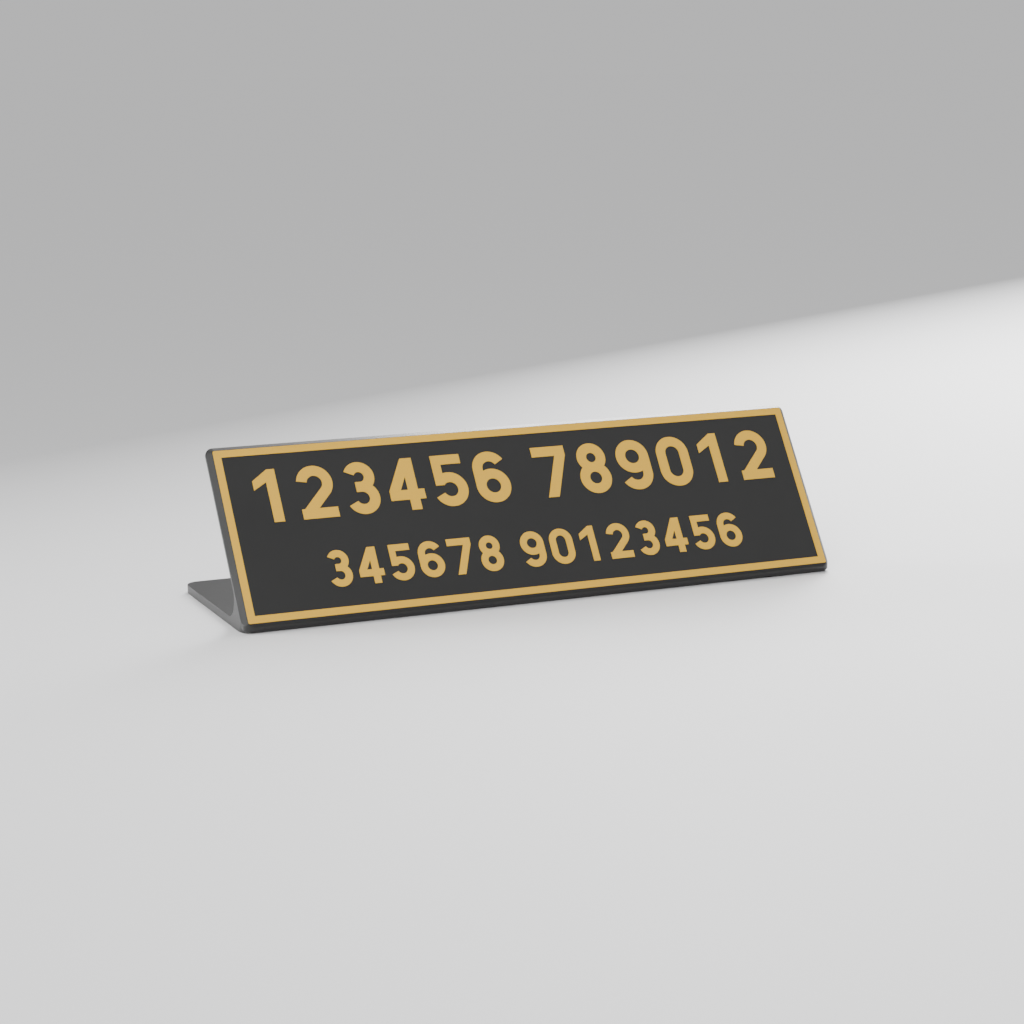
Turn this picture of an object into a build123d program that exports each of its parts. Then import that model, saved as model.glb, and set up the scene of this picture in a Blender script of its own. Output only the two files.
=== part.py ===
"""Desk name plate: a bent sheet stand with a gold border and gold numerals set into its face.

Millimetres. +X is to the right of the face, +Y points back, +Z is up, and the face looks towards -Y.
The origin is on the desk, under the middle of the plate's box.
"""

import os
from math import atan2, cos, degrees, hypot, radians, sin, tan

from build123d import *

# Stand
WIDTH = 200.0
SHEET = 2.6
LEAN = 34.8
FACE_LENGTH = 61.7
BASE_LENGTH = 62.5
BEND_OUTSIDE_RADIUS = 1.9
BEND_INSIDE_RADIUS = 6.0
FACE_CHAMFER = 1.6
FACE_CORNER_RADIUS = 2.3
BASE_BACK_CORNER_RADIUS = 4.4
BASE_FRONT_CORNER_RADIUS = 3.2
FOOT_CORNER_RADIUS = 2.6
FOOT_LIMIT = 1.7

# Gold inlays
POCKET_DEPTH = 0.6
PROUD = 0.15
INLAY_GAP = 0.05

# Border
BORDER_STRIP = 2.3
BORDER_EDGE_MARGIN = 0.15
BORDER_FOOT = 3.8
BORDER_CORNER_RADIUS = 0.5

# Numerals: each row has its characters, height and baseline, measured up the face from its foot
ROWS = {
    "upper": ("123456 789012", 17.4, 35.2),
    "lower": ("345678 90123456", 11.9, 12.5),
}

# Numeral proportions, as shares of a numeral's height
NUMERAL_WIDTH = 0.66
NUMERAL_STROKE = 0.19
NUMERAL_PITCH = 0.835
NUMERAL_SPACE = 0.37
ONE_FLAG_TOP = 0.80
ONE_FLAG_BOTTOM = 0.62
ONE_FLAG_ROOT = 0.76
FOUR_BAR = 0.2
FIVE_STEM_FOOT = 0.42

# Numeral proportions, as shares of a numeral's width
ONE_RIGHT = 0.74
ONE_FLAG_LEFT = 0.08
FOUR_RIGHT = 0.82
FOUR_PEAK = 0.04
FIVE_STEM_LEFT = 0.1
FIVE_BAR_RIGHT = 0.95
SEVEN_TOE = 0.2

# Numeral proportions, as shares of a numeral's stroke
ONE_TOP_SLANT = 0.25
FIVE_STEM_STROKE = 0.9
FIVE_BAR_STROKE = 0.95
SEVEN_SLANT = 1.12

# Rounds of the three and the eight: the lower one's share of the height between the stroke's middles
LOWER_ROUND = 0.53

# Numeral arcs: where each starts and how far it turns, in degrees
TWO_START = 170
THREE_START = 155
THREE_TURN = 245
FIVE_START = 140
FIVE_TURN = 295
SIX_START = 180
SIX_TURN = 150

# Bend, as seen from the end of the sheet
half_bend = radians((90 - LEAN) / 2)
bend_setback = BEND_OUTSIDE_RADIUS / tan(half_bend)
front_overhang = bend_setback - BEND_OUTSIDE_RADIUS
depth = BASE_LENGTH - front_overhang

# The face and the underside would meet at the foot, if the bend were sharp
foot_y = -depth / 2 - front_overhang
back_y = depth / 2
face_out = Vector(0, -cos(radians(LEAN)), sin(radians(LEAN)))
face_plane = Plane(origin=(0, foot_y, 0), x_dir=(1, 0, 0), z_dir=face_out)
pocket_floor = face_plane.offset(-POCKET_DEPTH)
inlay_thickness = POCKET_DEPTH + PROUD

border_width = WIDTH - 2 * (FACE_CHAMFER + BORDER_EDGE_MARGIN)
border_height = FACE_LENGTH - FACE_CHAMFER - BORDER_EDGE_MARGIN - BORDER_FOOT
border_middle = BORDER_FOOT + border_height / 2


def polygon(*points, mode=Mode.ADD):
    """A filled outline through the points, added to the sketch at work or cut from it."""
    Polygon(*points, align=None, mode=mode)


def bar(left, right, bottom, top):
    """A filled rectangle between four limits, added to the sketch at work."""
    polygon((left, bottom), (right, bottom), (right, top), (left, top))


def numeral(digit, height):
    """One bold numeral, with its lower left corner at the sketch's origin."""
    width = NUMERAL_WIDTH * height
    stroke = NUMERAL_STROKE * height
    half = stroke / 2
    middle = width / 2
    top = height - half
    bottom = half
    bowl = middle - half
    # Two stacked round strokes, the lower one a little larger
    lower_round = LOWER_ROUND * (top - bottom) / 2
    upper_round = (1 - LOWER_ROUND) * (top - bottom) / 2
    waist = bottom + 2 * lower_round

    with BuildSketch() as sketch:
        if digit == "0":
            with Locations((middle, height / 2)):
                SlotOverall(height, width, rotation=90)
                SlotOverall(height - 2 * stroke, width - 2 * stroke, rotation=90, mode=Mode.SUBTRACT)
        elif digit == "1":
            right = ONE_RIGHT * width
            left = right - stroke
            polygon(
                (left, 0),
                (right, 0),
                (right, height),
                (left + ONE_TOP_SLANT * stroke, height),
                (ONE_FLAG_LEFT * width, ONE_FLAG_TOP * height),
                (ONE_FLAG_LEFT * width, ONE_FLAG_BOTTOM * height),
                (left, ONE_FLAG_ROOT * height),
            )
        elif digit == "2":
            shoulder = top - bowl
            rise = 2 * degrees(atan2(shoulder - bottom, bowl)) - 90
            hook = CenterArc((middle, shoulder), bowl, TWO_START, rise - 90 - TWO_START, mode=Mode.PRIVATE)
            slope = Line(hook @ 1, (half, bottom), mode=Mode.PRIVATE)
            trace(hook, line_width=stroke)
            trace(slope, line_width=stroke)
            bar(0, width, 0, stroke)
        elif digit == "3":
            upper_middle = (middle, top - upper_round)
            lower_middle = (middle, bottom + lower_round)
            upper = CenterArc(upper_middle, upper_round, THREE_START, -THREE_TURN, mode=Mode.PRIVATE)
            lower = CenterArc(lower_middle, lower_round, 90, -THREE_TURN, mode=Mode.PRIVATE)
            trace(upper, line_width=stroke)
            trace(lower, line_width=stroke)
            bar(middle - half, middle, waist - half, waist + half)
        elif digit == "4":
            right = FOUR_RIGHT * width
            left = right - stroke
            bar_low = FOUR_BAR * height
            bar_high = bar_low + stroke
            peak = left - FOUR_PEAK * width
            run = height - bar_high
            slant = stroke * hypot(peak, run) / run
            polygon(
                (left, 0),
                (right, 0),
                (right, height),
                (peak, height),
                (0, bar_high),
                (0, bar_low),
                (left, bar_low),
            )
            bar(right, width, bar_low, bar_high)
            counter_top = bar_high + (left - slant) * run / peak
            polygon((left, bar_high), (left, counter_top), (slant, bar_high), mode=Mode.SUBTRACT)
        elif digit == "5":
            stem = FIVE_STEM_LEFT * width
            belly = CenterArc((middle, bottom + bowl), bowl, FIVE_START, -FIVE_TURN, mode=Mode.PRIVATE)
            trace(belly, line_width=stroke)
            bar(stem, stem + FIVE_STEM_STROKE * stroke, FIVE_STEM_FOOT * height, height)
            bar(stem, FIVE_BAR_RIGHT * width, height - FIVE_BAR_STROKE * stroke, height)
        elif digit in "69":
            with Locations((middle, bottom + bowl)):
                Circle(bowl + half)
                Circle(bowl - half, mode=Mode.SUBTRACT)
            back = Line((half, bottom + bowl), (half, top - bowl), mode=Mode.PRIVATE)
            hook = CenterArc((middle, top - bowl), bowl, SIX_START, -SIX_TURN, mode=Mode.PRIVATE)
            trace(back, line_width=stroke)
            trace(hook, line_width=stroke)
        elif digit == "7":
            toe = SEVEN_TOE * width
            slant = SEVEN_SLANT * stroke
            polygon(
                (0, height),
                (width, height),
                (width, height - stroke),
                (toe + slant, 0),
                (toe, 0),
                (width - slant, height - stroke),
                (0, height - stroke),
            )
        elif digit == "8":
            centres = [(upper_round, top - upper_round), (lower_round, bottom + lower_round)]
            for radius, y in centres:
                with Locations((middle, y)):
                    Circle(radius + half)
            for radius, y in centres:
                with Locations((middle, y)):
                    Circle(radius - half, mode=Mode.SUBTRACT)

    if digit != "9":
        return sketch.sketch
    with BuildSketch() as turned:
        with Locations((width, height)):
            add(sketch.sketch, rotation=180)
    return turned.sketch


def row_starts(text, height):
    """The characters of a row, each with the left limit of its cell; the row is centred on the face."""
    starts = []
    x = 0.0
    for character in text:
        if character == " ":
            x += NUMERAL_SPACE * height
            continue
        starts.append((character, x))
        x += NUMERAL_PITCH * height
    row_width = starts[-1][1] + NUMERAL_WIDTH * height
    return [(character, x - row_width / 2) for character, x in starts]


os.makedirs("parts", exist_ok=True)

# Numeral outlines, in face coordinates
numerals = {}
for row_name, (text, height, baseline) in ROWS.items():
    for count, (digit, left) in enumerate(row_starts(text, height), start=1):
        with BuildSketch() as outline:
            with Locations((left, baseline)):
                add(numeral(digit, height))
        numerals[f"{row_name}_numeral_{count:02d}"] = outline.sketch

# Border outline, in face coordinates
with BuildSketch() as border_outline:
    with Locations((0, border_middle)):
        RectangleRounded(border_width, border_height, BORDER_CORNER_RADIUS)
        Rectangle(border_width - 2 * BORDER_STRIP, border_height - 2 * BORDER_STRIP, mode=Mode.SUBTRACT)

# Outline of the leaning face, with its bevelled edge, carried back over the whole stand
with BuildPart() as face_envelope:
    with BuildSketch(face_plane):
        with Locations((0, FACE_LENGTH / 2)):
            Rectangle(WIDTH, FACE_LENGTH)
        fillet(vertices().group_by(Axis.Y)[-1], FACE_CORNER_RADIUS)
    extrude(amount=-BASE_LENGTH)
    front_face = faces().sort_by(Axis(face_plane.origin, face_out))[-1]
    foot_edge = front_face.edges().sort_by(Axis.Z)[0]
    chamfer([edge for edge in front_face.edges() if edge != foot_edge], FACE_CHAMFER)

# Rounded lower corners of the face, below the border; the limit is just under the outside of the bend
with BuildPart() as foot_envelope:
    with BuildSketch(face_plane):
        with Locations((0, FOOT_LIMIT + FACE_LENGTH / 2)):
            Rectangle(WIDTH, FACE_LENGTH)
        fillet(vertices().group_by(Axis.Y)[0], FOOT_CORNER_RADIUS)
    extrude(amount=-BASE_LENGTH)

# Outline of the base as seen from above
with BuildPart() as plan_envelope:
    with BuildSketch():
        Rectangle(WIDTH, depth)
        fillet(vertices().group_by(Axis.Y)[0], BASE_FRONT_CORNER_RADIUS)
        fillet(vertices().group_by(Axis.Y)[-1], BASE_BACK_CORNER_RADIUS)
    extrude(amount=FACE_LENGTH)

# Stand: the bent sheet, with a pocket for each gold piece
with BuildPart() as stand:
    with BuildSketch(Plane.YZ):
        foot = Vector(foot_y, 0)
        up_face = Vector(sin(radians(LEAN)), cos(radians(LEAN)))
        into_sheet = Vector(cos(radians(LEAN)), -sin(radians(LEAN)))
        face_end = foot + up_face * FACE_LENGTH
        crook = foot + Vector(SHEET / tan(half_bend), SHEET)
        with BuildLine():
            Polyline(
                foot,
                (back_y, 0),
                (back_y, SHEET),
                crook,
                face_end + into_sheet * SHEET,
                face_end,
                close=True,
            )
        make_face()
        fillet(vertices().sort_by_distance(foot)[0], BEND_OUTSIDE_RADIUS)
        fillet(vertices().sort_by_distance(crook)[0], BEND_INSIDE_RADIUS)
    extrude(amount=WIDTH / 2, both=True)
    add(face_envelope.part, mode=Mode.INTERSECT)
    add(foot_envelope.part, mode=Mode.INTERSECT)
    add(plan_envelope.part, mode=Mode.INTERSECT)
    for outline in [border_outline.sketch, *numerals.values()]:
        with BuildSketch(pocket_floor):
            add(outline)
            offset(amount=INLAY_GAP, kind=Kind.INTERSECTION)
        extrude(amount=SHEET, mode=Mode.SUBTRACT)
stand.part.label = "stand"
export_step(stand.part, "parts/stand.step")

# Border and numerals: flat gold inlays that stand a little proud of the face
for name, outline in {"border": border_outline.sketch, **numerals}.items():
    with BuildPart() as inlay:
        with BuildSketch(pocket_floor):
            add(outline)
        extrude(amount=inlay_thickness)
    inlay.part.label = name
    export_step(inlay.part, f"parts/{name}.step")
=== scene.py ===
"""Desk name plate on a pale studio floor, seen from the photograph's angle."""

from math import pi, radians

import bpy
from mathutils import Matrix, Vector

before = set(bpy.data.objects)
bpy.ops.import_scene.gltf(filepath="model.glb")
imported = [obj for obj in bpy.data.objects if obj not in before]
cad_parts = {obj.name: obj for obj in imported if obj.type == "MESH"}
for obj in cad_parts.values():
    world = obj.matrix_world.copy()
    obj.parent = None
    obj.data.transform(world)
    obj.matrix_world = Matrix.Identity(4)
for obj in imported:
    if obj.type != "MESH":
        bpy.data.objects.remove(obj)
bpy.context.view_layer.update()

MM = 0.001

# Camera: a long lens to the left of the plate and above it, looking a little down, without roll
LENS_MM = 85.0
SENSOR_MM = 36.0
CAMERA_PLACE = Vector((-308.2, -688.2, 181.6)) * MM
CAMERA_PITCH = radians(-11.91)
CAMERA_TURN = radians(-24.10)

# Floor: half sizes of its flat middle and of its raised rim, and the rim's height, in metres
FLOOR_FLAT = 5.0
FLOOR_END = 12.0
FLOOR_RISE = 0.8
FLOOR_COLOUR = (0.80, 0.80, 0.805)
FLOOR_ROUGHNESS = 0.7

# Sky: its strength low down and overhead, and the sines of the elevations between which it changes
SKY_LOW = 0.25
SKY_HIGH = 0.86
SKY_DIM_BELOW = 0.1
SKY_FULL_ABOVE = 0.6

# Soft lights: place, point looked at, width and height in metres, power in watts, spread in degrees
LIGHTS = {
    "back_light": ((0.604, 0.627, 0.72), (1.051, -0.267, 0.72), 1.0, 1.0, 62.0, 180.0),
    "front_light": ((-0.62, -0.55, 0.50), (-0.09, -0.03, 0.02), 0.4, 0.4, 1.0, 80.0),
    "left_light": ((-0.86, 0.30, 0.11), (-0.1, 0.0, 0.03), 0.3, 0.16, 0.55, 30.0),
}

# Noise: its roughness, the detail of broad clouds, and the part of its values that is stretched to a range
NOISE_ROUGHNESS = 0.6
CLOUD_DETAIL = 4.0
NOISE_LOW = 0.3
NOISE_HIGH = 0.7

# Black sheet: noise scales are in turns per metre and the grain's height is in metres
BLACK_DARK = (0.011, 0.011, 0.0108)
BLACK_LIGHT = (0.015, 0.015, 0.0147)
BLACK_ROUGHNESS = (0.34, 0.40)
BLACK_SPECULAR = 0.5
BLACK_CLOUD_SCALE = 45.0
BLACK_GRAIN_SCALE = 2600.0
BLACK_GRAIN_DETAIL = 2.0
BLACK_GRAIN_HEIGHT = 0.00003
BLACK_GRAIN_STRENGTH = 0.25

# Gold inlay, in the same units
GOLD_DARK = (0.78, 0.45, 0.043)
GOLD_LIGHT = (0.88, 0.52, 0.061)
GOLD_ROUGHNESS = (0.50, 0.60)
GOLD_METALLIC = 0.15
GOLD_SPECULAR = 0.3
GOLD_CLOUD_SCALE = 70.0
GOLD_GRAIN_SCALE = 3200.0
GOLD_GRAIN_DETAIL = 3.0
GOLD_GRAIN_HEIGHT = 0.00002
GOLD_GRAIN_STRENGTH = 0.2


def principled(name):
    """A new material with its node tree and its shader."""
    material = bpy.data.materials.new(name)
    material.use_nodes = True
    tree = material.node_tree
    return material, tree, tree.nodes["Principled BSDF"]


def noise(tree, scale, detail):
    """Noise values over the object's own coordinates."""
    place = tree.nodes.new("ShaderNodeTexCoord")
    texture = tree.nodes.new("ShaderNodeTexNoise")
    texture.inputs["Scale"].default_value = scale
    texture.inputs["Detail"].default_value = detail
    texture.inputs["Roughness"].default_value = NOISE_ROUGHNESS
    tree.links.new(place.outputs["Object"], texture.inputs["Vector"])
    return texture.outputs["Fac"]


def stretch(tree, source, source_low, source_high, low, high):
    """Maps values between two limits onto the range from low to high."""
    span = tree.nodes.new("ShaderNodeMapRange")
    span.inputs["From Min"].default_value = source_low
    span.inputs["From Max"].default_value = source_high
    span.inputs["To Min"].default_value = low
    span.inputs["To Max"].default_value = high
    tree.links.new(source, span.inputs["Value"])
    return span.outputs["Result"]


def colour_between(tree, source, first, second):
    """Mixes two colours by a noise value."""
    mix = tree.nodes.new("ShaderNodeMix")
    mix.data_type = "RGBA"
    mix.inputs["A"].default_value = (*first, 1.0)
    mix.inputs["B"].default_value = (*second, 1.0)
    tree.links.new(source, mix.inputs["Factor"])
    return mix.outputs["Result"]


def grain(tree, shader, source, height, strength):
    """A fine bump from a noise value."""
    bump = tree.nodes.new("ShaderNodeBump")
    bump.inputs["Strength"].default_value = strength
    bump.inputs["Distance"].default_value = height
    tree.links.new(source, bump.inputs["Height"])
    tree.links.new(bump.outputs["Normal"], shader.inputs["Normal"])


def black_sheet():
    """Satin black sheet with a fine moulded grain."""
    material, tree, shader = principled("black_sheet")
    cloud = noise(tree, BLACK_CLOUD_SCALE, CLOUD_DETAIL)
    fine = noise(tree, BLACK_GRAIN_SCALE, BLACK_GRAIN_DETAIL)
    colour = colour_between(tree, cloud, BLACK_DARK, BLACK_LIGHT)
    roughness = stretch(tree, cloud, NOISE_LOW, NOISE_HIGH, *BLACK_ROUGHNESS)
    tree.links.new(colour, shader.inputs["Base Color"])
    tree.links.new(roughness, shader.inputs["Roughness"])
    shader.inputs["Specular IOR Level"].default_value = BLACK_SPECULAR
    grain(tree, shader, fine, BLACK_GRAIN_HEIGHT, BLACK_GRAIN_STRENGTH)
    return material


def gold_inlay():
    """Matte gold with a faint, fine grain."""
    material, tree, shader = principled("gold_inlay")
    cloud = noise(tree, GOLD_CLOUD_SCALE, CLOUD_DETAIL)
    fine = noise(tree, GOLD_GRAIN_SCALE, GOLD_GRAIN_DETAIL)
    colour = colour_between(tree, fine, GOLD_DARK, GOLD_LIGHT)
    roughness = stretch(tree, cloud, NOISE_LOW, NOISE_HIGH, *GOLD_ROUGHNESS)
    tree.links.new(colour, shader.inputs["Base Color"])
    tree.links.new(roughness, shader.inputs["Roughness"])
    shader.inputs["Metallic"].default_value = GOLD_METALLIC
    shader.inputs["Specular IOR Level"].default_value = GOLD_SPECULAR
    grain(tree, shader, fine, GOLD_GRAIN_HEIGHT, GOLD_GRAIN_STRENGTH)
    return material


def pale_floor():
    """Plain pale studio paper."""
    material, _, shader = principled("pale_floor")
    shader.inputs["Base Color"].default_value = (*FLOOR_COLOUR, 1.0)
    shader.inputs["Roughness"].default_value = FLOOR_ROUGHNESS
    return material


def dress(node_names, material):
    """Gives CAD nodes their finish."""
    for name in node_names:
        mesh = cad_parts[name].data
        mesh.materials.clear()
        mesh.materials.append(material)


def studio_floor(material):
    """A wide flat floor that rises a little, far from the plate."""
    turns = ((-1, -1), (1, -1), (1, 1), (-1, 1))
    corners = [(x * FLOOR_FLAT, y * FLOOR_FLAT, 0.0) for x, y in turns]
    corners += [(x * FLOOR_END, y * FLOOR_END, FLOOR_RISE) for x, y in turns]
    middle = (0, 1, 2, 3)
    slopes = [(0, 1, 5, 4), (1, 2, 6, 5), (2, 3, 7, 6), (3, 0, 4, 7)]
    mesh = bpy.data.meshes.new("studio_floor")
    mesh.from_pydata(corners, [], [middle, *slopes])
    mesh.materials.append(material)
    floor = bpy.data.objects.new("studio_floor", mesh)
    bpy.context.scene.collection.objects.link(floor)


def sky():
    """Soft light from all round, dimmer near the horizon than overhead."""
    world = bpy.data.worlds.new("studio")
    world.use_nodes = True
    tree = world.node_tree
    background = tree.nodes["Background"]
    place = tree.nodes.new("ShaderNodeTexCoord")
    parts = tree.nodes.new("ShaderNodeSeparateXYZ")
    tree.links.new(place.outputs["Generated"], parts.inputs["Vector"])
    strength = stretch(tree, parts.outputs["Z"], SKY_DIM_BELOW, SKY_FULL_ABOVE, SKY_LOW, SKY_HIGH)
    tree.links.new(strength, background.inputs["Strength"])
    background.inputs["Color"].default_value = (1.0, 1.0, 1.0, 1.0)
    bpy.context.scene.world = world


def soft_light(name, place, aim, width, height, power, reach):
    """A soft rectangular light that looks at a point and isn't seen itself."""
    light = bpy.data.lights.new(name, "AREA")
    light.shape = "RECTANGLE"
    light.size = width
    light.size_y = height
    light.energy = power
    light.spread = radians(reach)
    lamp = bpy.data.objects.new(name, light)
    lamp.location = place
    lamp.rotation_euler = (Vector(aim) - Vector(place)).to_track_quat("-Z", "Y").to_euler()
    lamp.visible_camera = False
    bpy.context.scene.collection.objects.link(lamp)


def camera():
    """The photograph's camera."""
    data = bpy.data.cameras.new("camera")
    data.lens = LENS_MM
    data.sensor_width = SENSOR_MM
    eye = bpy.data.objects.new("camera", data)
    eye.location = CAMERA_PLACE
    eye.rotation_euler = (pi / 2 + CAMERA_PITCH, 0.0, CAMERA_TURN)
    bpy.context.scene.collection.objects.link(eye)
    bpy.context.scene.camera = eye


gold_names = [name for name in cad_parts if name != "stand"]
dress(["stand"], black_sheet())
dress(gold_names, gold_inlay())
studio_floor(pale_floor())
sky()
for light_name, settings in LIGHTS.items():
    soft_light(light_name, *settings)
camera()
